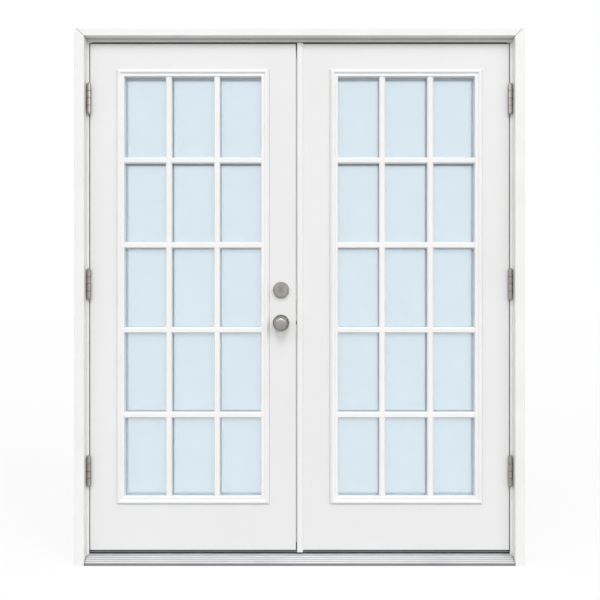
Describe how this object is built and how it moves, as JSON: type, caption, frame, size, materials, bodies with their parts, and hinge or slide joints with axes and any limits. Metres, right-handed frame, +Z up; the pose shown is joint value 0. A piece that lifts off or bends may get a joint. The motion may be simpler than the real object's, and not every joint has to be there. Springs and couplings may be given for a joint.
{
  "type": "french doors",
  "caption": "Prehung pair of glazed outswing doors with divided-lite grilles, lockset, flush-bolt astragal, casing, jambs and ribbed sill.",
  "frame": {"origin": "on the underside of the sill, midway between the jambs, in the plane of the wall face and of the outer faces of the closed leaves", "axes": "+X to the right seen from outside, +Y from outside to inside, +Z up"},
  "size_m": [1.7632, 0.178, 2.103],
  "materials": {
    "painted_timber": "satin",
    "steel_skin": "satin",
    "lite_moulding": "satin",
    "pane": "gloss",
    "spacer": "satin",
    "bare_timber": "matte",
    "foam": "matte",
    "sill_metal": "satin",
    "sill_composite": "matte",
    "seal": "matte",
    "weatherstrip": "matte",
    "nickel": "satin",
    "screw_metal": "satin",
    "astragal_paint": "satin"
  },
  "bodies": {
    "frame": {"left_jamb": "painted_timber", "right_jamb": "painted_timber", "head_jamb": "painted_timber", "left_brickmould": "painted_timber", "right_brickmould": "painted_timber", "head_brickmould": "painted_timber", "sill_deck": "sill_metal", "sill_substrate": "sill_composite", "bumper_seal": "seal", "jamb_weatherstrips": "weatherstrip", "jamb_hinge_leaves": "nickel", "jamb_hinge_screws": "screw_metal", "hinge_pins": "nickel"},
    "active_leaf": {"active_outer_skin": "steel_skin", "active_inner_skin": "steel_skin", "active_hinge_stile": "bare_timber", "active_lock_stile": "bare_timber", "active_rails": "bare_timber", "active_core": "foam", "active_outer_pane": "pane", "active_inner_pane": "pane", "active_glass_spacer": "spacer", "active_outer_lite_frame": "lite_moulding", "active_inner_lite_frame": "lite_moulding", "active_bottom_sweep": "seal", "active_hinge_leaves": "nickel", "active_hinge_screws": "screw_metal", "active_lite_screws": "screw_metal", "active_lock_block": "bare_timber", "knob_roses": "nickel", "latch_case": "nickel", "deadbolt_case": "nickel", "deadbolt_collar": "nickel", "deadbolt_cover": "nickel"},
    "inactive_leaf": {"inactive_outer_skin": "steel_skin", "inactive_inner_skin": "steel_skin", "inactive_hinge_stile": "bare_timber", "inactive_lock_stile": "bare_timber", "inactive_rails": "bare_timber", "inactive_core": "foam", "inactive_outer_pane": "pane", "inactive_inner_pane": "pane", "inactive_glass_spacer": "spacer", "inactive_outer_lite_frame": "lite_moulding", "inactive_inner_lite_frame": "lite_moulding", "inactive_bottom_sweep": "seal", "inactive_hinge_leaves": "nickel", "inactive_hinge_screws": "screw_metal", "inactive_lite_screws": "screw_metal", "astragal": "astragal_paint", "astragal_seal": "seal", "strike_plates": "nickel"},
    "knobs": {"outer_knob": "nickel", "inner_knob": "nickel"},
    "latch": {"latch_bolt": "nickel"},
    "thumb_turn": {"thumbturn": "nickel"},
    "plug": {"key_plug": "nickel"},
    "bolt": {"deadbolt": "nickel"},
    "top_bolt": {"top_flush_bolt": "nickel"},
    "bottom_bolt": {"bottom_flush_bolt": "nickel"}
  },
  "joints": [
    {"name": "active_door", "type": "hinge", "parent": "frame", "child": "active_leaf", "pos_m": [-0.8325, -0.009, 0.048], "axis": [0, 0, -1], "range_deg": [0, 130]},
    {"name": "inactive_door", "type": "hinge", "parent": "frame", "child": "inactive_leaf", "pos_m": [0.8325, -0.009, 0.048], "axis": [0, 0, 1], "range_deg": [0, 130]},
    {"name": "knob_turn", "type": "hinge", "parent": "active_leaf", "child": "knobs", "pos_m": [-0.0735, 0.02225, 0.9495], "axis": [0, 1, 0], "range_deg": [0, 60], "stiffness_Nm_per_rad": 0.6},
    {"name": "latch_slide", "type": "slide", "parent": "active_leaf", "child": "latch", "axis": [-1, 0, 0], "range_m": [0, 0.011]},
    {"name": "thumbturn_turn", "type": "hinge", "parent": "active_leaf", "child": "thumb_turn", "pos_m": [-0.0735, 0.02225, 1.0795], "axis": [0, 1, 0], "range_deg": [0, 90]},
    {"name": "key_plug_turn", "type": "hinge", "parent": "active_leaf", "child": "plug", "pos_m": [-0.0735, 0.02225, 1.0795], "axis": [0, 1, 0], "range_deg": [0, 90]},
    {"name": "deadbolt_slide", "type": "slide", "parent": "active_leaf", "child": "bolt", "axis": [1, 0, 0], "range_m": [0, 0.024]},
    {"name": "top_flush_slide", "type": "slide", "parent": "inactive_leaf", "child": "top_bolt", "axis": [0, 0, 1], "range_m": [0, 0.018]},
    {"name": "bottom_flush_slide", "type": "slide", "parent": "inactive_leaf", "child": "bottom_bolt", "axis": [0, 0, -1], "range_m": [0, 0.018]}
  ],
  "couplings": [
    {"joint": "latch_slide", "follows": "knob_turn", "m_per_rad": 0.0105},
    {"joint": "key_plug_turn", "follows": "thumbturn_turn", "ratio": 1},
    {"joint": "deadbolt_slide", "follows": "thumbturn_turn", "m_per_rad": 0.01527}
  ]
}
